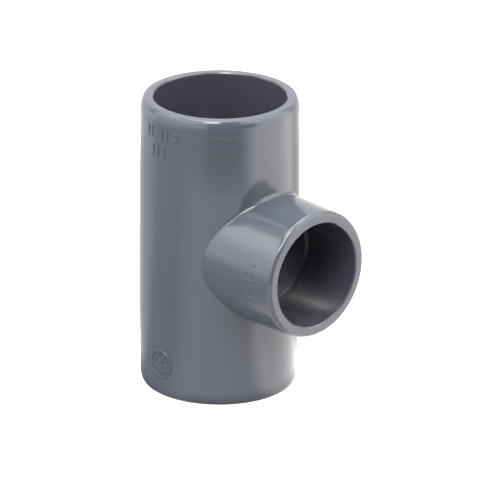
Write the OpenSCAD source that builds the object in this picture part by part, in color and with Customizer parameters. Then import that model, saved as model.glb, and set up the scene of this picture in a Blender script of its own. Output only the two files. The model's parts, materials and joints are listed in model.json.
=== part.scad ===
// Reducing tee for solvent-cemented pressure pipe, injection moulded in one piece.
// The run stands along Z with its lower mouth on Z = 0, and the smaller branch points along +X.

/* [Pipes] */
// Outside diameter of the pipe that goes into each end of the run
run_pipe_d = 50; // [44:0.5:63]
// Outside diameter of the pipe that goes into the branch
branch_pipe_d = 40; // [25:0.5:44]
// Room on the diameter between a pipe and its socket, which the cement fills
cement_gap = 0.2; // [0.1:0.05:0.5]

/* [Sockets] */
// Depth of each run socket, from its mouth to the shoulder that stops the pipe
run_socket_depth = 31; // [20:0.5:45]
// Depth of the branch socket
branch_socket_depth = 26; // [16:0.5:40]
// Width of the shoulder that stops a pipe in the run
run_shoulder = 1.6; // [0.8:0.1:4]
// Width of the shoulder that stops the pipe in the branch
branch_shoulder = 1.3; // [0.8:0.1:4]
// Lead-in chamfer round each mouth
lead_in = 0.5; // [0.2:0.1:1.2]

/* [Moulded body] */
// Wall of the run at its middle, measured out from the socket bore
run_wall = 5.1; // [4:0.1:8]
// Wall of the branch at its root, measured out from the socket bore
branch_wall = 4.9; // [4:0.1:5.5]
// Plastic between the branch socket's bore and the shoulder of a run socket
run_saddle = 5.9; // [3:0.1:15]
// Plastic between the run's passage and the shoulder of the branch socket
branch_saddle = 3.9; // [2:0.1:15]
// Draft of the run: how much smaller its radius is at a mouth than at the middle
run_draft = 0.4; // [0:0.05:0.8]
// Draft of the branch: how much smaller its radius is at the mouth than at the root
branch_draft = 0.45; // [0:0.05:0.8]
// Radius of the blend where the branch grows out of the run
blend_r = 1.5; // [0.5:0.1:2.5]

/* [Rims] */
// How far the rounding of a run rim reaches in over the end face
run_rim_in = 1.7; // [0.5:0.1:2.4]
// How far the rounding of a run rim reaches along the run
run_rim_long = 4.8; // [1:0.1:8]
// How far the rounding of the branch rim reaches in over the end face
branch_rim_in = 1.8; // [0.5:0.1:2.4]
// How far the rounding of the branch rim reaches along the branch
branch_rim_long = 2.3; // [1:0.1:6]

/* [Smoothness] */
// Facets round a full circle
round_fn = 128; // [48:8:200]
// Steps round the blend between run and branch
blend_steps = 96; // [48:8:120]
// Steps from the branch to the run across the blend
blend_arc_steps = 6; // [4:1:8]
// Steps along the rounding of a rim
rim_steps = 10; // [5:1:16]

/* [Hidden] */
pvc_grey = [0.39, 0.40, 0.43];
// Overlap that keeps a cut from ending flush with the face that it opens
eps = 1;
// Depth at which the blend starts below the two walls, so that it crosses them cleanly
blend_sink = 0.01;
// Depth of the blend's root inside both walls
blend_root = 1;

run_bore_r = (run_pipe_d + cement_gap) / 2;
branch_bore_r = (branch_pipe_d + cement_gap) / 2;
run_passage_r = run_bore_r - run_shoulder;
branch_passage_r = branch_bore_r - branch_shoulder;
run_r = run_bore_r + run_wall;
branch_r = branch_bore_r + branch_wall;

// Distances from the point where the two axes cross
run_stop = branch_bore_r + run_saddle;
branch_stop = run_passage_r + branch_saddle;
run_reach = run_stop + run_socket_depth;
branch_reach = branch_stop + branch_socket_depth;
// The walls keep their full radius past the blend, and the draft starts there
run_straight = branch_r + blend_r;
branch_straight = run_r + blend_r;

// Outline of one moulded arm, from the crossing of the axes to its rounded rim
module arm_profile(full_r, draft, straight, reach, rim_in, rim_long) {
    rim_r = full_r - draft;
    rim_from = reach - rim_long;
    rim = [
        for (i = [0 : rim_steps])
            let (a = 90 * i / rim_steps)
                [rim_r - rim_in * (1 - cos(a)), rim_from + rim_long * sin(a)]
    ];
    polygon(concat([[0, 0], [full_r, 0], [full_r, straight]], rim, [[0, reach]]));
}

// One arm of the body, standing up from the crossing of the axes
module arm(full_r, draft, straight, reach, rim_in, rim_long) {
    rotate_extrude($fn = round_fn)
        arm_profile(full_r, draft, straight, reach, rim_in, rim_long);
}

// Everything that is hollow along one arm: passage, shoulder, socket and lead-in
module arm_hollow(passage_r, bore_r, stop, reach) {
    cylinder(h = stop + eps, r = passage_r, $fn = round_fn);
    translate([0, 0, stop])
        cylinder(h = reach - stop + eps, r = bore_r, $fn = round_fn);
    translate([0, 0, reach - lead_in])
        cylinder(h = lead_in + eps, r1 = bore_r, r2 = bore_r + lead_in + eps, $fn = round_fn);
}

// Lays what stands along Z onto the branch's axis, +X
module along_branch() {
    rotate([0, 90, 0])
        children();
}

// Centre of a ball that rolls in the corner between the walls, at angle a round the branch
function ball_centre(a) =
    let (y = (branch_r + blend_r) * sin(a))
        [
            sqrt(pow(run_r + blend_r, 2) - y * y),
            y,
            (branch_r + blend_r) * cos(a)
        ];

// Directions from the ball to the branch's wall and to the run's wall
function to_branch(a) = [0, -sin(a), -cos(a)];
function to_run(c) = [-c[0], -c[1], 0] / norm([c[0], c[1]]);

// Direction at share t of the turn from unit vector u to unit vector v
function turned(u, v, t) =
    let (w = acos(u * v))
        (u * sin((1 - t) * w) + v * sin(t * w)) / sin(w);

// One section of the blend: the ball's arc from wall to wall, then the root inside both
function blend_section(a) =
    let (
        c = ball_centre(a),
        u = to_branch(a),
        v = to_run(c),
        reach = blend_r + blend_sink
    )
        concat(
            [for (i = [0 : blend_arc_steps]) c + reach * turned(u, v, i / blend_arc_steps)],
            [c + (blend_r + blend_root) * (u + v)]
        );

// The concave blend that follows the saddle line all the way round the branch
module saddle_blend() {
    points_each = blend_arc_steps + 2;
    points = [
        for (i = [0 : blend_steps - 1])
            each blend_section(360 * i / blend_steps)
    ];
    faces = [
        for (i = [0 : blend_steps - 1], j = [0 : points_each - 1])
            let (
                near = i * points_each,
                far = ((i + 1) % blend_steps) * points_each,
                k = (j + 1) % points_each
            )
                each [[near + j, near + k, far + k], [near + j, far + k, far + j]]
    ];
    polyhedron(points = points, faces = faces, convexity = 6);
}

module run_outside() {
    for (side = [0, 1])
        mirror([0, 0, side])
            arm(run_r, run_draft, run_straight, run_reach, run_rim_in, run_rim_long);
}

module branch_outside() {
    along_branch()
        arm(
            branch_r, branch_draft, branch_straight, branch_reach,
            branch_rim_in, branch_rim_long
        );
}

module hollows() {
    for (side = [0, 1])
        mirror([0, 0, side])
            arm_hollow(run_passage_r, run_bore_r, run_stop, run_reach);
    along_branch()
        arm_hollow(branch_passage_r, branch_bore_r, branch_stop, branch_reach);
}

module tee() {
    color(pvc_grey)
        translate([0, 0, run_reach])
            difference() {
                union() {
                    run_outside();
                    branch_outside();
                    saddle_blend();
                }
                hollows();
            }
}

tee();
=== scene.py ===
# %% [markdown]
# # A moulded reducing tee
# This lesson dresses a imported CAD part: a grey PVC pipe fitting with a straight run and a smaller
# branch. The real thing is a single injection moulding, so it becomes a single mesh. The interest
# lies in how that mesh is worked out, because a glossy, smooth part shows every fault of its
# surface in its reflections.

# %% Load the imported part
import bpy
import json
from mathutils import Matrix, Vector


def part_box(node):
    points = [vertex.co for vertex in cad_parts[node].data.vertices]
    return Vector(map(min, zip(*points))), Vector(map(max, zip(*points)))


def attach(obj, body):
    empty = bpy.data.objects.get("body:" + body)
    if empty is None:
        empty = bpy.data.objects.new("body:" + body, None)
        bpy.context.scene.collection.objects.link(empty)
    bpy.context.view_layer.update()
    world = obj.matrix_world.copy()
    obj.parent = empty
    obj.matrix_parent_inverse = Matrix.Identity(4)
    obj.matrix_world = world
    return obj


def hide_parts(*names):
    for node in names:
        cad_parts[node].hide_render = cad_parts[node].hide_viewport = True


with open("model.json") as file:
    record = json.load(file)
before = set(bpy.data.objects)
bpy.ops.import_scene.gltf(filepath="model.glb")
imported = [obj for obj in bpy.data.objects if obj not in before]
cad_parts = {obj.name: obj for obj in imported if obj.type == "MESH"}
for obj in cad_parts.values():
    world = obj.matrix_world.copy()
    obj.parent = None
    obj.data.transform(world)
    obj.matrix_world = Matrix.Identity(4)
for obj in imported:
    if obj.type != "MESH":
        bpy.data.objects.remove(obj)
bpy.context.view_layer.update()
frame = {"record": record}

# %% [markdown]
# ## Sizes
# The CAD part is the only thing this script reads. Its box gives the reach of each arm from the
# point where the two axes cross, and its mounts give the three sockets. What neither tells is
# stated here in millimetres: the widths of the shoulders, the draft of the walls and the roundings.
# Working in millimetres keeps the numbers readable, and one factor turns them into Blender's metres
# at the end.

# %% Driving sizes, in millimetres
import json
import math

import bpy
import numpy as np
from mathutils import Matrix, Vector

MM = 0.001

socket = {m["name"]: m["dims"] for m in frame["record"]["mounts"] if m["kind"] == "bore"}
low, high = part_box("tee")

run = {
    "reach": (high.z - low.z) / 2 / MM,
    "wall_r": 30.2,
    "bore_r": socket["upper_socket"]["r_mm"],
    "draft": 0.4,
    "rim_in": 1.7,
    "rim_long": 4.8,
    "cap_step": 0.07,
    "shoulder": 1.6,
}
branch = {
    "reach": high.x / MM,
    "wall_r": 25.0,
    "bore_r": socket["branch_socket"]["r_mm"],
    "draft": 0.45,
    "rim_in": 1.8,
    "rim_long": 2.3,
    "cap_step": 0.0,
    "shoulder": 1.3,
}
lead_in = 0.5
blend_r = 1.5

for arm, depth in ((run, 31.0), (branch, 26.0)):
    arm["stop"] = arm["reach"] - depth
    arm["passage_r"] = arm["bore_r"] - arm["shoulder"]
run["straight"] = branch["wall_r"] + blend_r
branch["straight"] = run["wall_r"] + blend_r
print("run", run)
print("branch", branch)

# %% [markdown]
# ## Tracing an outline
# Each arm is a body of revolution: a wall, a rounded rim, a flat land, a chamfer, the socket, the
# shoulder and the passage. One way to round its corners is the Bevel modifier, but bevels bend the
# reflections of the flats beside them. Here the outline is traced instead, as samples that each
# carry a true normal. A corner becomes a short arc, and the flats next to it keep normals that are
# exactly flat.

# %% A tracer for outlines
CORNER_STEPS = 4


def trace(corners):
    """Turns (radius, place along the arm, rounding) corners into samples with normals.

    The material lies to the left of the way the outline runs. A rounding of 0 is a step of a
    smooth curve."""
    points = np.array([c[:2] for c in corners], float)
    ways = np.diff(points, axis=0)
    lengths = np.linalg.norm(ways, axis=1)
    ways /= lengths[:, None]
    sides = np.stack([ways[:, 1], -ways[:, 0]], axis=1)
    samples = [(points[0], sides[0])]
    for i in range(1, len(points) - 1):
        before, after, rounding = sides[i - 1], sides[i], corners[i][2]
        if rounding == 0:
            middle = before + after
            samples.append((points[i], middle / np.linalg.norm(middle)))
            continue
        turn = math.atan2(before[0] * after[1] - before[1] * after[0], before @ after)
        back = rounding * math.tan(abs(turn) / 2)
        start = points[i] - ways[i - 1] * back
        bend = math.copysign(1.0, turn)
        centre = start - before * rounding * bend
        for step in range(CORNER_STEPS + 1):
            angle = turn * step / CORNER_STEPS
            c, s = math.cos(angle), math.sin(angle)
            side = np.array([c * before[0] - s * before[1], s * before[0] + c * before[1]])
            samples.append((centre + side * rounding * bend, side))
    samples.append((points[-1], sides[-1]))
    return np.array([p for p, _ in samples]), np.array([n for _, n in samples])


# %% [markdown]
# ## The outline of an arm
# The rim's rounding is a quarter of an ellipse, long along the arm and short across it, as a
# polished mould leaves it. Every other corner gets a rounding of a tenth or so of a millimetre.
# That is too small to see as a shape, yet it catches the thin bright lines by which the eye knows
# an edge.

# %% Outlines of the run and of the branch
RIM_STEPS = 20
CAP_LONG = 3.0
CAP_STEPS = 8
EDGE = 0.12
SOCKET_CORNER = 0.3


def wall_radius(arm, along):
    """Outer radius at a distance from the crossing: full as far as the blend, then tapering."""
    rim_from = arm["reach"] - arm["rim_long"]
    share = np.clip((np.abs(along) - arm["straight"]) / (rim_from - arm["straight"]), 0, 1)
    return arm["wall_r"] - arm["draft"] * share


def arm_outline(arm, outside_from, inside_to):
    """Corners of one arm, from its outer wall over the rim and down to its passage."""
    rim_r = arm["wall_r"] - arm["draft"]
    rim_from = arm["reach"] - arm["rim_long"]
    corners = [(wall_radius(arm, outside_from), outside_from, 0)]
    for share in np.arange(CAP_STEPS) / CAP_STEPS:
        along = rim_from + CAP_LONG * (share - 1)
        swell = arm["cap_step"] * share**2 * (3 - 2 * share)
        corners.append((wall_radius(arm, along) + swell, along, 0))
    rim_r += arm["cap_step"]
    for step in range(RIM_STEPS + 1):
        angle = math.radians(90 * step / RIM_STEPS)
        corners.append(
            (
                rim_r - arm["rim_in"] * (1 - math.cos(angle)),
                rim_from + arm["rim_long"] * math.sin(angle),
                0,
            )
        )
    corners += [
        (arm["bore_r"] + lead_in, arm["reach"], EDGE),
        (arm["bore_r"], arm["reach"] - lead_in, EDGE),
        (arm["bore_r"], arm["stop"], SOCKET_CORNER),
        (arm["passage_r"], arm["stop"], SOCKET_CORNER),
        (arm["passage_r"], inside_to, 0),
    ]
    return trace(corners)


# %% [markdown]
# ## Where two pipes cross
# The line where two round walls meet is a saddle, and no simple revolve follows it. A Boolean
# modifier finds it, but leaves long thin faces that no bevel crosses well. The real mould has a
# blend there, cut by a ball-nosed tool, and the same picture solves it: a ball that touches both
# walls rolls round the corner. Its centre lies a ball's radius outside both walls, so two circles
# give it directly. The two points where it touches are the blend's edges.
#
# Inside the fitting the passages meet in the same way. There the ball rolls within the plastic, and
# the very same formula rounds the edge between them.

# %% The rolling ball


def ball(run_r, branch_r, radius, turn):
    """Centre of the ball at each turn round the branch, and where it touches branch and run."""
    y = (branch_r + radius) * np.sin(turn)
    z = (branch_r + radius) * np.cos(turn)
    x = np.sqrt((run_r + radius) ** 2 - y**2)
    centre = np.stack([x, y, z], axis=1)
    on_branch = np.stack([x, branch_r * np.sin(turn), branch_r * np.cos(turn)], axis=1)
    share = run_r / (run_r + radius)
    on_run = np.stack([x * share, y * share, z], axis=1)
    return centre, on_branch, on_run


def turned(start, stop, share):
    """Unit vectors at a share of the turn from start to stop, row by row."""
    angle = np.arccos(np.clip((start * stop).sum(axis=1, keepdims=True), -1, 1))
    return (start * np.sin((1 - share) * angle) + stop * np.sin(share * angle)) / np.sin(angle)


# %% [markdown]
# ## A skin of sheets
# The mesh is built from sheets, which are grids of points with a normal at each. Sheets that share
# an edge have to share its vertices, or light leaks through and the solid isn't closed. Looking
# each point up by its rounded place welds them as they are made, with no cleaning step afterwards.

# %% A skin that welds its sheets
WELD_PLACES = 5


class Skin:
    """Points, faces and corner normals that grow sheet by sheet."""

    def __init__(self):
        self.known = {}
        self.points = []
        self.faces = []
        self.normals = []

    def vertex(self, point):
        """Index of a point, the old one if a sheet has put a point there before."""
        key = tuple(np.round(point, WELD_PLACES) + 0.0)
        if key not in self.known:
            self.known[key] = len(self.points)
            self.points.append(point)
        return self.known[key]

    def sheet(self, points, normals, closed=False):
        """Adds a grid of rows and columns. A closed sheet joins its last column to its first."""
        rows, columns = points.shape[:2]
        index = [[self.vertex(points[r, c]) for c in range(columns)] for r in range(rows)]
        last = columns if closed else columns - 1
        across = points[:-1, 1:] - points[1:, :-1]
        along = points[1:, 1:] - points[:-1, :-1]
        faces_out = (np.cross(along, across) * (normals[:-1, 1:] + normals[1:, :-1])).sum() > 0
        for r in range(rows - 1):
            for c in range(last):
                d = (c + 1) % columns
                loop = [(r, c), (r + 1, c), (r + 1, d), (r, d)]
                if not faces_out:
                    loop.reverse()
                corners, seen = [], set()
                for place in loop:
                    if index[place[0]][place[1]] not in seen:
                        seen.add(index[place[0]][place[1]])
                        corners.append(place)
                if len(corners) > 2:
                    self.faces.append([index[a][b] for a, b in corners])
                    self.normals.extend(normals[a, b] for a, b in corners)


# %% [markdown]
# ## Columns
# The saddle sits in the middle of the run's wall, so that wall needs a grid which is round at the
# blend and square at its outer border. Each column starts at a turn round the branch and ends on
# the border: along the top, down one side, back along the bottom and up the other side. Close
# columns at the mould's parting plane leave room for the fine line that it prints on the part.

# %% Columns round the branch and round the run
SEAM_PLACES = (0.07, 0.14, 0.21, 0.32, 0.5)
TOP_COLUMNS = 48
SIDE_ROWS = 32
CORNER_TURN = 60.0


def half_columns(radius, stop):
    """Angles from the parting plane out to a stop: a few close ones, then even steps."""
    close = [math.degrees(place / radius) for place in SEAM_PLACES]
    return np.radians(np.concatenate([[0.0], close, np.linspace(0, stop, TOP_COLUMNS + 1)[1:]]))


def mirrored(half):
    """The angles on both sides of the parting plane, from those on one side."""
    return np.concatenate([-half[:0:-1], half])


top_turn = mirrored(half_columns(branch["wall_r"], CORNER_TURN))
side_turn = np.radians(np.linspace(CORNER_TURN, 180 - CORNER_TURN, SIDE_ROWS + 1))[1:-1]
turn = np.concatenate([top_turn, side_turn, math.pi + top_turn, math.pi + side_turn])

front = mirrored(half_columns(run["wall_r"], 90.0))
back = math.pi + front
drop = np.linspace(1, -1, SIDE_ROWS + 1)
quarter = math.pi / 2
border_angle = np.concatenate(
    [front, np.full(SIDE_ROWS - 1, quarter), front[::-1], np.full(SIDE_ROWS - 1, -quarter)]
)
border_drop = np.concatenate(
    [np.ones(len(front)), drop[1:-1], -np.ones(len(front)), -drop[1:-1]]
)
ring = np.concatenate([front, back[1:-1]])
print(len(turn), "columns round the branch and", len(ring), "round the run")

# %% [markdown]
# ## The parting line
# The two halves of the mould meet on the plane that holds both axes. They never close perfectly,
# and the plastic keeps a ridge a few hundredths of a millimetre high. It could be a bump in the
# material, but a real ridge breaks the reflections in the right way from every side and survives
# the export, so each outer sheet is lifted there a little.

# %% Raising the parting line
SEAM_HEIGHT = 0.025
SEAM_WIDTH = 0.14


def with_seam(points, normals, fade, ways=None):
    """Lifts points near the parting plane, along ways or their normals, and tilts the normals."""
    y = points[..., 1]
    lift = SEAM_HEIGHT * np.exp(-((y / SEAM_WIDTH) ** 2)) * fade
    slope = lift * -2 * y / SEAM_WIDTH**2
    tilted = normals.copy()
    tilted[..., 1] -= slope
    tilted /= np.linalg.norm(tilted, axis=-1, keepdims=True)
    return points + (normals if ways is None else ways) * lift[..., None], tilted


# %% [markdown]
# ## Laying the sheets
# An outline turned round Z makes an arm of the run, and turned round X it makes the branch. The
# wall with the saddle is made once outside and once inside, because the passages cross as the walls
# do. The seam fades out where the rim turns over, because the end faces come from other parts of
# the mould.

# %% Sheets of revolution


def revolved(outline, angles, axis, seam):
    """Sheet of an outline turned round an axis, with the seam on its outer wall if asked."""
    places, sides = outline
    c, s = np.cos(angles)[None, :], np.sin(angles)[None, :]
    grids = []
    for radial, along in (places.T, sides.T):
        out = radial[:, None]
        flat = np.broadcast_to(along[:, None], (len(along), len(angles)))
        parts = (out * c, out * s, flat) if axis == "z" else (flat, out * s, out * c)
        grids.append(np.stack(parts, axis=-1))
    points, normals = grids
    if seam:
        radial = np.stack((c + 0 * points[..., 0], s + 0 * points[..., 0]), axis=-1)
        ways = np.zeros_like(points)
        ways[..., (0, 1) if axis == "z" else (2, 1)] = radial
        outer = np.arange(len(places)) <= CAP_STEPS + RIM_STEPS + 1
        fade = np.where(np.arange(len(places)) == 0, 1.0, outer * sides[:, 0] ** 2)
        points, normals = with_seam(points, normals, fade[:, None], ways)
    return points, normals


def flipped(points, normals):
    """The same sheet mirrored from the top of the run to the bottom."""
    down = np.array([1, 1, -1])
    return points * down, normals * down


# %% The wall with the saddle
WALL_STEPS = 14
CROWDING = 1.4
BLEND_STEPS = 10


def crossing(skin, run_radius, branch_r, radius, border_z, outward):
    """Run's wall round the branch, the blend, and the wall behind.

    The wall's rows crowd toward the blend. Gives back the blend's edge on the branch."""
    centre, on_branch, on_run = ball(run_radius(0), branch_r, radius, turn)
    grow = np.linspace(0, 1, WALL_STEPS + 1)[:, None] ** CROWDING
    angle = np.arctan2(on_run[:, 1], on_run[:, 0])
    angles = angle + (border_angle - angle) * grow
    z = on_run[:, 2] + (border_drop * border_z - on_run[:, 2]) * grow
    r = run_radius(z)
    flat = np.zeros_like(z)
    points = np.stack([r * np.cos(angles), r * np.sin(angles), z], axis=-1)
    normals = np.stack([np.cos(angles), np.sin(angles), flat], axis=-1)

    to_run = (on_run - centre) / radius
    to_branch = (on_branch - centre) / radius
    shares = np.linspace(0, 1, BLEND_STEPS + 1)
    arc = np.stack([turned(to_branch, to_run, share) for share in shares])

    far_z = np.broadcast_to((drop * border_z)[:, None], (SIDE_ROWS + 1, len(back)))
    far_r = run_radius(far_z)
    far_c, far_s = np.cos(back), np.sin(back)
    behind = np.stack([far_r * far_c, far_r * far_s, far_z], axis=-1)
    behind_normals = np.stack(
        [np.broadcast_to(far_c, far_z.shape), np.broadcast_to(far_s, far_z.shape), 0 * far_z],
        axis=-1,
    )
    side = 1 if outward else -1
    for sheet, normal, closed in (
        (points, normals * side, True),
        (centre + arc * radius, -arc * side, True),
        (behind, behind_normals * side, False),
    ):
        if outward:
            sheet, normal = with_seam(sheet, normal, 1.0)
        skin.sheet(sheet, normal, closed)
    return on_branch


def sleeve(skin, edge, along, radius, side, steps, seam):
    """Branch wall between the blend's wavy edge and a plain ring at one place along the axis."""
    share = np.linspace(0, 1, steps + 1)[:, None]
    x = edge[:, 0] + (along - edge[:, 0]) * share
    r = np.full_like(x, radius)
    c, s = np.cos(turn), np.sin(turn)
    points = np.stack([x, r * s, r * c], axis=-1)
    normals = np.stack([0 * x, np.broadcast_to(s, x.shape), np.broadcast_to(c, x.shape)], axis=-1)
    normals = normals * side
    if seam:
        points, normals = with_seam(points, normals, 1.0)
    skin.sheet(points, normals, True)


# %% Build the whole skin
OUTER_BORDER = 28.0
INNER_BORDER = 22.0
INNER_EDGE = 0.4
BRANCH_INNER = 25.5
OUTER_SLEEVE_STEPS = 8
INNER_SLEEVE_STEPS = 6

skin = Skin()

outer_edge = crossing(
    skin, lambda z: wall_radius(run, z), branch["wall_r"], blend_r, OUTER_BORDER, True
)
inner_edge = crossing(
    skin,
    lambda z: run["passage_r"] + 0 * np.asarray(z, float),
    branch["passage_r"],
    INNER_EDGE,
    INNER_BORDER,
    False,
)
sleeve(skin, outer_edge, branch["straight"], branch["wall_r"], 1, OUTER_SLEEVE_STEPS, True)
sleeve(skin, inner_edge, BRANCH_INNER, branch["passage_r"], -1, INNER_SLEEVE_STEPS, False)

run_sheet = revolved(arm_outline(run, OUTER_BORDER, INNER_BORDER), ring, "z", True)
skin.sheet(*run_sheet, True)
skin.sheet(*flipped(*run_sheet), True)
branch_sheet = revolved(arm_outline(branch, branch["straight"], BRANCH_INNER), turn, "x", True)
skin.sheet(*branch_sheet, True)
print(len(skin.points), "points and", len(skin.faces), "faces without the marks")

# %% [markdown]
# ## Raised marks
# Fittings carry small raised marks on the flank that faces a mould half, engraved in the steel.
# Here they are plain bars, pips and a dial of ticks, and they say nothing. Displacement could raise
# them, but it needs a very dense mesh. Each ridge is instead a little closed sheet with its foot
# sunk in the wall. All of them go into the same skin, because they are the same shot of plastic.

# %% A ridge and the two walls that carry it
MARK_HEIGHT = 0.35
MARK_FOOT = 0.2
MARK_HALF = 0.42
MARK_TOP = 0.26
FOOT_ROUND = 0.04
TOP_ROUND = 0.1
END_STEPS = 16
HOOP_STEPS = 64


def ridge_outline(both_sides):
    """Section of a ridge, from under its middle round one side to its top, or all the way round."""
    corners = [
        (0, -MARK_FOOT, 0),
        (MARK_HALF, -MARK_FOOT, FOOT_ROUND),
        (MARK_TOP, MARK_HEIGHT, TOP_ROUND),
    ]
    if both_sides:
        corners += [
            (-MARK_TOP, MARK_HEIGHT, TOP_ROUND),
            (-MARK_HALF, -MARK_FOOT, FOOT_ROUND),
            (0, -MARK_FOOT, 0),
        ]
    else:
        corners += [(0, MARK_HEIGHT, 0)]
    return trace(corners)


def on_run(u, v, lift):
    """A place on the run's flank, u to the right and v up from the crossing, and its directions."""
    angle = u / run["wall_r"] - quarter
    none, one = np.zeros_like(u), np.ones_like(u)
    out = np.stack([np.cos(angle), np.sin(angle), none], axis=-1)
    level = np.stack([-np.sin(angle), np.cos(angle), none], axis=-1)
    rise = np.stack([none, none, one], axis=-1)
    points = out * (wall_radius(run, v) + lift)[..., None] + rise * v[..., None]
    return points, level, rise, out


def on_branch(u, v, lift):
    """The same on the branch's flank, u along the branch and v up round it."""
    angle = v / branch["wall_r"]
    none, one = np.zeros_like(u), np.ones_like(u)
    out = np.stack([none, -np.cos(angle), np.sin(angle)], axis=-1)
    level = np.stack([one, none, none], axis=-1)
    rise = np.stack([none, np.sin(angle), np.cos(angle)], axis=-1)
    points = out * (wall_radius(branch, u) + lift)[..., None] + level * u[..., None]
    return points, level, rise, out


def ridge_sheet(wall, spine_u, spine_v, around, outline):
    """Lays a ridge's section all along a spine, spread in the direction that each place has."""
    places, sides = outline
    u = spine_u + places[:, :1] * np.cos(around)
    v = spine_v + places[:, :1] * np.sin(around)
    points, level, rise, out = wall(u, v, np.broadcast_to(places[:, 1:], u.shape))
    spread = level * np.cos(around)[..., None] + rise * np.sin(around)[..., None]
    skin.sheet(points, spread * sides[:, None, :1] + out * sides[:, None, 1:], True)


def bar(wall, u, v, half_long, tilt=0.0):
    """A straight ridge with round ends. A half length of nothing makes a pip."""
    around = (np.arange(END_STEPS) + 0.5) / END_STEPS * 2 * math.pi
    end = np.sign(np.cos(around)) * half_long
    around = around[None, :] + tilt
    spine_u = u + end * math.cos(tilt)
    spine_v = v + end * math.sin(tilt)
    ridge_sheet(wall, spine_u, spine_v, around, ridge_outline(False))


def hoop(wall, u, v, radius):
    """A round ridge."""
    around = np.arange(HOOP_STEPS)[None, :] / HOOP_STEPS * 2 * math.pi
    spine_u = u + radius * np.cos(around)
    spine_v = v + radius * np.sin(around)
    ridge_sheet(wall, spine_u, spine_v, around, ridge_outline(True))


# %% Bars and pips on the run and the branch
UPRIGHT = quarter
PIP = 0.0
SHORT = 0.5
DASH = 1.1
LONG = 2.0
FIRST_ROW = 48.9
FIRST_ROW_TOP = 50.0
FIRST_ROW_FOOT = 47.6
SECOND_ROW = 42.0
NEAR_MOUTH = 42.6

for u in (-8.0, -5.4, 0.4, 3.0):
    bar(on_run, u, FIRST_ROW, LONG, UPRIGHT)
bar(on_run, -2.6, FIRST_ROW_FOOT, PIP)
for v in (FIRST_ROW_TOP, FIRST_ROW_FOOT):
    bar(on_run, 6.6, v, DASH)
for u in (-4.6, -1.6, 1.6):
    bar(on_run, u, SECOND_ROW, LONG, UPRIGHT)
bar(on_run, 4.4, SECOND_ROW, PIP)

for v in (-8.0, -5.2, 1.6, 4.4, 7.6):
    bar(on_branch, NEAR_MOUTH, v, LONG)
bar(on_branch, NEAR_MOUTH, -2.0, SHORT, UPRIGHT)

# %% A dial with twelve ticks and a pointer
DIAL_UP = -43.6
DIAL_RADIUS = 5.2
TICK_RADIUS = DIAL_RADIUS - 1.5
TICK_HALF = 0.35
POINTER_RIGHT = 0.6
POINTER_UP = 1.0
POINTER_HALF = 0.9
POINTER_TILT = math.radians(60)

hoop(on_run, 0.0, DIAL_UP, DIAL_RADIUS)
for hour in range(12):
    tilt = math.radians(30 * hour)
    tick_up = DIAL_UP + TICK_RADIUS * math.sin(tilt)
    bar(on_run, TICK_RADIUS * math.cos(tilt), tick_up, TICK_HALF, tilt)
bar(on_run, POINTER_RIGHT, DIAL_UP + POINTER_UP, POINTER_HALF, POINTER_TILT)
print(len(skin.points), "points and", len(skin.faces), "faces with the marks")

# %% [markdown]
# ## From sheets to a mesh
# The points move from the crossing of the axes to the CAD frame, where the lower mouth stands on
# the floor. Blender would guess a normal at each vertex from the faces round it. The sheets know
# better, so their own normals are set as custom normals, face corner by face corner.

# %% Make the Blender object


def skin_object(name, skin, lift):
    """Turns a skin in millimetres into an object in metres, lifted so that it stands at 0."""
    mesh = bpy.data.meshes.new(name)
    points = (np.array(skin.points) + [0, 0, lift]) * MM
    mesh.from_pydata(points.tolist(), [], skin.faces)
    mesh.polygons.foreach_set("use_smooth", [True] * len(mesh.polygons))
    mesh.normals_split_custom_set(np.array(skin.normals).tolist())
    made = bpy.data.objects.new(name, mesh)
    bpy.context.scene.collection.objects.link(made)
    return made


body = skin_object("tee_moulding", skin, run["reach"])
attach(body, "root")
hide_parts("tee")
print("tee_moulding has", len(body.data.polygons), "faces")

# %% [markdown]
# ## A few words for nodes
# The plastic, the room and the table are all made of nodes. Wiring them takes many short calls, so
# a few helpers come first. Each takes a node tree and what goes in, and gives back the socket that
# comes out.

# %% Node helpers


def node(tree, kind, **settings):
    """A new node with its settings made."""
    made = tree.nodes.new(kind)
    for key, value in settings.items():
        setattr(made, key, value)
    return made


def feed(tree, socket, value):
    """Links a socket to another, or sets it to a plain value."""
    if isinstance(value, bpy.types.NodeSocket):
        tree.links.new(value, socket)
    else:
        socket.default_value = value


def number(tree, operation, *values):
    """A sum on numbers."""
    made = node(tree, "ShaderNodeMath", operation=operation)
    for socket, value in zip(made.inputs, values):
        feed(tree, socket, value)
    return made.outputs[0]


def vector(tree, operation, *values):
    """A sum on vectors."""
    made = node(tree, "ShaderNodeVectorMath", operation=operation)
    for socket, value in zip(made.inputs, values):
        feed(tree, socket, value)
    return made.outputs["Value" if operation in ("LENGTH", "DOT_PRODUCT") else "Vector"]


def ranged(tree, value, start, stop, low, high, easing="LINEAR"):
    """Moves a value from the span of start and stop to that of low and high, and no further."""
    span = node(tree, "ShaderNodeMapRange", interpolation_type=easing)
    feed(tree, span.inputs["Value"], value)
    bounds = {"From Min": start, "From Max": stop, "To Min": low, "To Max": high}
    for name, bound in bounds.items():
        span.inputs[name].default_value = bound
    return span.outputs["Result"]


def above(tree, value, edge, soft):
    """1 where the value is above the edge, 0 below, with a soft change between."""
    return ranged(tree, value, edge - soft / 2, edge + soft / 2, 0.0, 1.0, "SMOOTHSTEP")


def below(tree, value, edge, soft):
    """The reverse: 1 where the value is below the edge."""
    return ranged(tree, value, edge - soft / 2, edge + soft / 2, 1.0, 0.0, "SMOOTHSTEP")


def noise(tree, place, scale, detail=2.0):
    """Smooth random values between 0 and 1, with so many waves to the metre."""
    made = node(tree, "ShaderNodeTexNoise")
    feed(tree, made.inputs["Vector"], place)
    made.inputs["Scale"].default_value = scale
    made.inputs["Detail"].default_value = detail
    return made.outputs["Fac"]


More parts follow.
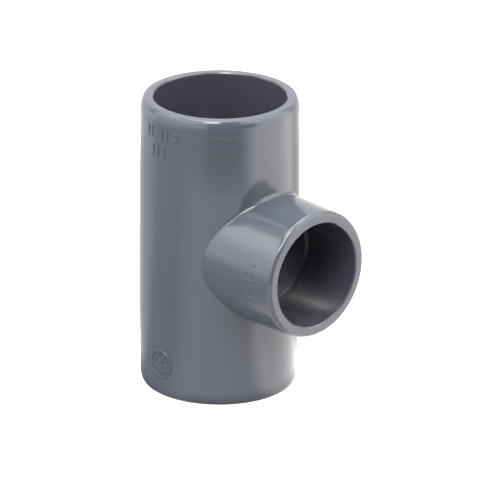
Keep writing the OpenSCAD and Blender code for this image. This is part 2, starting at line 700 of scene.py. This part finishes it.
def blended(tree, share, first, second):
    """A colour between two others."""
    made = node(tree, "ShaderNodeMix", data_type="RGBA")
    feed(tree, made.inputs[0], share)
    feed(tree, made.inputs[6], first)
    feed(tree, made.inputs[7], second)
    return made.outputs[2]


# %% [markdown]
# ## Grey PVC
# The fitting is rigid PVC with the pigment mixed right through it, so its colour hardly varies.
# What tells the eye that it is moulded plastic is the gloss. The outer walls come from polished
# steel and mirror the room sharply. The sockets come from cores with a finer, duller ground, so
# that the cement keys, and they scatter the light. An image could show that, but the places
# themselves say where the sockets are: less than a bore's radius from an axis.

# %% Where the sockets are
plastic = bpy.data.materials.new("grey_pvc")
plastic.use_nodes = True
pvc = plastic.node_tree
shader = pvc.nodes["Principled BSDF"]
SOCKET_MARGIN = 0.2
SOCKET_SOFT = 0.3
BRANCH_FROM = 5.0
BRANCH_SOFT = 2.0

spot = node(pvc, "ShaderNodeTexCoord").outputs["Object"]
run_flat = vector(pvc, "MULTIPLY", spot, (1, 1, 0))
from_crossing = vector(pvc, "SUBTRACT", spot, (0, 0, run["reach"] * MM))
branch_flat = vector(pvc, "MULTIPLY", from_crossing, (0, 1, 1))
ahead = vector(pvc, "DOT_PRODUCT", spot, (1, 0, 0))
run_edge = (run["bore_r"] + SOCKET_MARGIN) * MM
branch_edge = (branch["bore_r"] + SOCKET_MARGIN) * MM
in_run = below(pvc, vector(pvc, "LENGTH", run_flat), run_edge, SOCKET_SOFT * MM)
in_branch = below(pvc, vector(pvc, "LENGTH", branch_flat), branch_edge, SOCKET_SOFT * MM)
past_crossing = above(pvc, ahead, BRANCH_FROM * MM, BRANCH_SOFT * MM)
in_branch = number(pvc, "MULTIPLY", in_branch, past_crossing)
# This mask gives the sockets their duller finish and also paints shade into their grey.
socket_finish_and_shade = number(pvc, "MAXIMUM", in_run, in_branch)
print("socket finish ends at radius", run_edge / MM, "and", branch_edge / MM)

# %% [markdown]
# ### Colour
# The pigment is stirred in as the melt flows, and flow leaves very slight clouds and a fine mottle.
# A noise of a few centimetres and one of half a millimetre move the grey by less than a tenth. The
# sockets get a darker, slightly warmer grey: painted shade for the dim inside of the bores. Colours
# are written as the light that they give back, from 0 to 1.

# %% Pigment
OUTER_DEEP = (0.057, 0.065, 0.087, 1)
OUTER_PALE = (0.062, 0.070, 0.092, 1)
# The socket greys are painted shade: darker than the outer grey, for the dim inside of the bores.
SOCKET_SHADE_DEEP = (0.044, 0.044, 0.061, 1)
SOCKET_SHADE_PALE = (0.048, 0.048, 0.065, 1)
CLOUDS_PER_M = 35
MOTTLE_PER_M = 2000
PVC_IOR = 1.53

clouds = ranged(pvc, noise(pvc, spot, CLOUDS_PER_M, 3), 0.3, 0.7, 0.1, 0.7)
mottle = ranged(pvc, noise(pvc, spot, MOTTLE_PER_M), 0.3, 0.7, -0.15, 0.3)
stirred = number(pvc, "ADD", clouds, mottle)
outer_grey = blended(pvc, stirred, OUTER_DEEP, OUTER_PALE)
socket_grey_painted_shade = blended(pvc, stirred, SOCKET_SHADE_DEEP, SOCKET_SHADE_PALE)
# Inside the sockets the colour turns to the darker grey of the painted shade.
feed(pvc, shader.inputs["Base Color"], blended(pvc, socket_finish_and_shade, outer_grey, socket_grey_painted_shade))
shader.inputs["IOR"].default_value = PVC_IOR
print("grey from", OUTER_DEEP[:3], "to", OUTER_PALE[:3], "outside")

# %% [markdown]
# ### Gloss
# The polish is good but not perfect. Handling leaves faint smudges, and sliding out of the steel
# leaves hair-fine drag marks along the run. A noise that is squeezed in X and Y and stretched in Z
# gives such streaks.

# %% Roughness
POLISHED = 0.105
SOCKET_DULL = 0.19
SMUDGED = 0.03
SMUDGES_PER_M = 60
DRAGGED = 0.04
DRAGS_PER_M = (900, 900, 16)

smudges = ranged(pvc, noise(pvc, spot, SMUDGES_PER_M, 4), 0.35, 0.75, 0.0, SMUDGED)
streaks = noise(pvc, vector(pvc, "MULTIPLY", spot, DRAGS_PER_M), 1.0, 3)
drag = ranged(pvc, streaks, 0.62, 0.78, 0.0, DRAGGED)
wear = number(pvc, "ADD", smudges, drag)
fresh = ranged(pvc, socket_finish_and_shade, 0, 1, POLISHED, SOCKET_DULL)
feed(pvc, shader.inputs["Roughness"], number(pvc, "ADD", fresh, wear))
print("roughness", POLISHED, "outside and", SOCKET_DULL, "in the sockets")

# %% [markdown]
# ### Surface
# Thick walls shrink as they cool, so a long wall is never quite true, and its reflections waver. A
# bump of a few hundredths of a millimetre over two centimetres does that, and a much finer one
# gives the skin of the plastic.

# %% Bump
WAVER = 4.0e-5
WAVES_PER_M = 55
GRAIN = 1.6e-6
GRAINS_PER_M = 650

waver = node(pvc, "ShaderNodeBump")
waver.inputs["Distance"].default_value = WAVER
feed(pvc, waver.inputs["Height"], noise(pvc, spot, WAVES_PER_M, 1))
peel = node(pvc, "ShaderNodeBump")
peel.inputs["Distance"].default_value = GRAIN
feed(pvc, peel.inputs["Height"], noise(pvc, spot, GRAINS_PER_M, 2))
feed(pvc, peel.inputs["Normal"], waver.outputs["Normal"])
feed(pvc, shader.inputs["Normal"], peel.outputs["Normal"])
body.data.materials.append(plastic)
print("grey_pvc has", len(pvc.nodes), "nodes")

# %% [markdown]
# ## Camera
# The fitting is seen from above its level, half way between its side and the mouth of its branch,
# through a long lens. The numbers were found by matching the outline and the two open mouths to a
# photograph of 500 by 500 pixels. Turning the camera a little off the fitting frames it, and leaves
# the lens without any shift.

# %% Camera
AZIMUTH, ELEVATION, ROLL = 46.80, 21.36, 0.357
DISTANCE = 2.171
FOCAL_PX = 5736.0
FRAME_PX = 500
SENSOR_MM = 36.0
TEE_AT_PX = (219.36, 236.77)


def camera_axes():
    """Right, up and backward of a camera that looks at the crossing of the two axes."""
    az, el, roll = (math.radians(v) for v in (AZIMUTH, ELEVATION, ROLL))
    back = Vector((math.sin(az) * math.cos(el), -math.cos(az) * math.cos(el), math.sin(el)))
    level = Vector((math.cos(az), math.sin(az), 0))
    up = back.cross(level)
    right = level * math.cos(roll) + up * math.sin(roll)
    return right, up * math.cos(roll) - level * math.sin(roll), back


right, up, back_way = camera_axes()
crossing_at = Vector((0, 0, run["reach"] * MM))
per_px = DISTANCE / FOCAL_PX
off_right = (FRAME_PX / 2 - TEE_AT_PX[0]) * per_px
off_up = (TEE_AT_PX[1] - FRAME_PX / 2) * per_px
aim = crossing_at + right * off_right + up * off_up
place = crossing_at + back_way * DISTANCE
look = (place - aim).normalized()
side_way = (right - look * right.dot(look)).normalized()

camera_data = bpy.data.cameras.new("camera")
camera_data.sensor_width = SENSOR_MM
camera_data.lens = FOCAL_PX / FRAME_PX * camera_data.sensor_width
camera = bpy.data.objects.new("camera", camera_data)
turn_matrix = Matrix((side_way, look.cross(side_way), look)).transposed()
camera.matrix_world = Matrix.Translation(place) @ turn_matrix.to_4x4()
bpy.context.scene.collection.objects.link(camera)
bpy.context.scene.camera = camera
print("camera at", tuple(round(v, 3) for v in place))
print("with a lens of", round(camera_data.lens, 1), "mm")

# %% [markdown]
# ## Soft boxes
# A glossy thing is lit by what it mirrors, so the studio is laid out as a plan of soft bright
# fields. Area lamps could do it, but their edges are hard. Here each field is a smooth step up and
# down in two directions: the turn from the lens, with the right positive, and a height. The same
# words serve the room, where the height is an elevation in degrees, and the table, where it is a
# distance from the fitting in millimetres.

# %% A plan of soft fields
scene = bpy.context.scene
scene.view_settings.view_transform = "Standard"
LENS_WAY = Vector((back_way.x, back_way.y, 0)).normalized()
RIGHT_WAY = Vector((-LENS_WAY.y, LENS_WAY.x, 0))
ALL_ROUND = 180


def fields(tree, flat_way, height, unit, plan):
    """Adds up the brightness of all the fields of a plan at one way and height.

    A row of the plan is a name, (centre, half width, softness) of the turn in degrees, (low, high,
    softness) of the height, and the brightness."""
    total = 0.0
    for name, (centre, half, soft_turn), (low, high, soft_height), bright in plan:
        share = number(
            tree,
            "MULTIPLY",
            above(tree, height, low * unit, soft_height * unit),
            below(tree, height, high * unit, soft_height * unit),
        )
        if half < ALL_ROUND:
            angle = math.radians(centre)
            toward = LENS_WAY * math.cos(angle) + RIGHT_WAY * math.sin(angle)
            facing = vector(tree, "DOT_PRODUCT", flat_way, toward)
            turned_by = number(tree, "ARCCOSINE", facing)
            near = below(tree, turned_by, math.radians(half), math.radians(soft_turn))
            share = number(tree, "MULTIPLY", share, near)
        total = number(tree, "MULTIPLY_ADD", share, bright, total)
        print("  ", name, "of brightness", bright)
    return total


# %% [markdown]
# ## The room
# A big soft box hangs overhead, and large white walls stand left, right and behind. The side of the
# lens is dark, which gives the run its dark core, but for one narrow bright box over the lens that
# draws the white glint on the rim. The camera sees plain white behind the fitting, and so would a
# ray that has come through glass.

# %% The room's plan
ROOM = (
    ("overhead", (0, ALL_ROUND, 20), (69, 82, 10), 4.2),
    ("overhead, behind on the left", (-150, 48, 24), (51, 82, 6), 4.4),
    ("overhead, on the left", (-66, 38, 16), (60, 82, 6), 4.4),
    ("over the lens", (-15, 14, 12), (38, 76, 10), 14.0),
    ("left wall", (-64, 45, 8), (-10, 49, 8), 2.1),
    ("left wall, high up", (-72, 40, 14), (22, 49, 30), 2.1),
    ("right wall", (84, 30, 20), (-10, 72, 10), 3.4),
    ("right wall, near edge", (46, 14, 12), (16, 60, 8), 2.7),
    ("behind", (180, 68, 20), (-10, 40, 12), 1.3),
    ("behind, high up", (144, 50, 24), (38, 70, 10), 2.0),
    ("behind, a faint band", (-148, 30, 20), (40, 55, 8), 1.6),
)
WARM_WHITE = (1.0, 0.98, 0.945, 1)
BACKGROUND = 1.0

# %% What each ray sees of the room
world = bpy.data.worlds.new("studio")
scene.world = world
world.use_nodes = True
air = world.node_tree
air.nodes.clear()
way = node(air, "ShaderNodeTexCoord").outputs["Generated"]
flat_way = vector(air, "NORMALIZE", vector(air, "MULTIPLY", way, (1, 1, 0)))
elevation = number(air, "ARCSINE", vector(air, "DOT_PRODUCT", way, (0, 0, 1)))
room = node(air, "ShaderNodeBackground")
feed(air, room.inputs["Strength"], fields(air, flat_way, elevation, math.radians(1), ROOM))
room.inputs["Color"].default_value = WARM_WHITE
white = node(air, "ShaderNodeBackground")
white.inputs["Strength"].default_value = BACKGROUND
air_rays = node(air, "ShaderNodeLightPath").outputs
seen = node(air, "ShaderNodeMixShader")
looked_at = number(air, "MAXIMUM", air_rays["Is Camera Ray"], air_rays["Is Transmission Ray"])
feed(air, seen.inputs[0], looked_at)
feed(air, seen.inputs[1], room.outputs[0])
feed(air, seen.inputs[2], white.outputs[0])
feed(air, node(air, "ShaderNodeOutputWorld").inputs["Surface"], seen.outputs[0])
print("studio has", len(air.nodes), "nodes")

# %% [markdown]
# ## The table
# The fitting stands on a pale table. Its front edge lies a forearm's length before the fitting, and
# beyond it the glossy wall mirrors the dark room. A real table is lit unevenly, brightest under the
# right wall. So glossy rays see a plan of fields, diffuse rays see an even grey that throws back as
# much light as those fields do together, and the camera sees white paper, nearly burnt out, that
# still keeps the fitting's shadow.

# %% The table's plan
TO_THE_CORNERS = 3000
TABLE = (
    ("near", (0, ALL_ROUND, 20), (30, 285, 30), 0.38),
    ("far, all but before", (184, 157, 22), (285, TO_THE_CORNERS, 30), 0.6),
    ("before", (0, 46, 40), (30, 285, 30), 1.1),
    ("left", (-78, 36, 30), (165, 285, 70), 0.2),
    ("right", (81, 39, 24), (31, TO_THE_CORNERS, 20), 2.7),
    ("behind on the right", (152, 36, 30), (40, TO_THE_CORNERS, 30), 0.78),
    ("behind on the left", (-138, 34, 20), (40, TO_THE_CORNERS, 20), 0.5),
    ("far left", (-85, 40, 30), (450, TO_THE_CORNERS, 150), 0.8),
)

# %% A table top
TABLE_SPAN = 4

bpy.ops.mesh.primitive_plane_add(size=TABLE_SPAN, location=(0, 0, 0))
floor = bpy.context.object
floor.name = "floor"
paper = bpy.data.materials.new("white_table")
paper.use_nodes = True
paper.cycles.emission_sampling = "NONE"
floor.data.materials.append(paper)
print("table top", TABLE_SPAN, "m wide")

# %% What each ray sees of the table
PAPER = 0.8
PAPER_BOUNCE = 0.34
BURNT_OUT = 0.45

table = paper.node_tree
table.nodes.clear()
at = node(table, "ShaderNodeTexCoord").outputs["Object"]
rays = node(table, "ShaderNodeLightPath").outputs
mirror = node(table, "ShaderNodeEmission")
mirror.inputs["Color"].default_value = WARM_WHITE
out_way = vector(table, "NORMALIZE", at)
distance = vector(table, "LENGTH", at)
feed(table, mirror.inputs["Strength"], fields(table, out_way, distance, MM, TABLE))
matt = node(table, "ShaderNodeBsdfDiffuse")
matt.inputs["Color"].default_value = (PAPER, PAPER, PAPER, 1)
dimmed = node(table, "ShaderNodeBsdfDiffuse")
dimmed.inputs["Color"].default_value = (PAPER_BOUNCE, PAPER_BOUNCE, PAPER_BOUNCE, 1)
burnt = node(table, "ShaderNodeEmission")
burnt.inputs["Strength"].default_value = BURNT_OUT
bright_paper = node(table, "ShaderNodeAddShader")
feed(table, bright_paper.inputs[0], matt.outputs[0])
feed(table, bright_paper.inputs[1], burnt.outputs[0])
for_camera = node(table, "ShaderNodeMixShader")
looked_at = number(table, "MAXIMUM", rays["Is Camera Ray"], rays["Is Transmission Ray"])
feed(table, for_camera.inputs[0], looked_at)
feed(table, for_camera.inputs[1], dimmed.outputs[0])
feed(table, for_camera.inputs[2], bright_paper.outputs[0])
for_gloss = node(table, "ShaderNodeMixShader")
feed(table, for_gloss.inputs[0], rays["Is Glossy Ray"])
feed(table, for_gloss.inputs[1], for_camera.outputs[0])
feed(table, for_gloss.inputs[2], mirror.outputs[0])
feed(table, node(table, "ShaderNodeOutputMaterial").inputs["Surface"], for_gloss.outputs[0])
print("white_table has", len(table.nodes), "nodes")
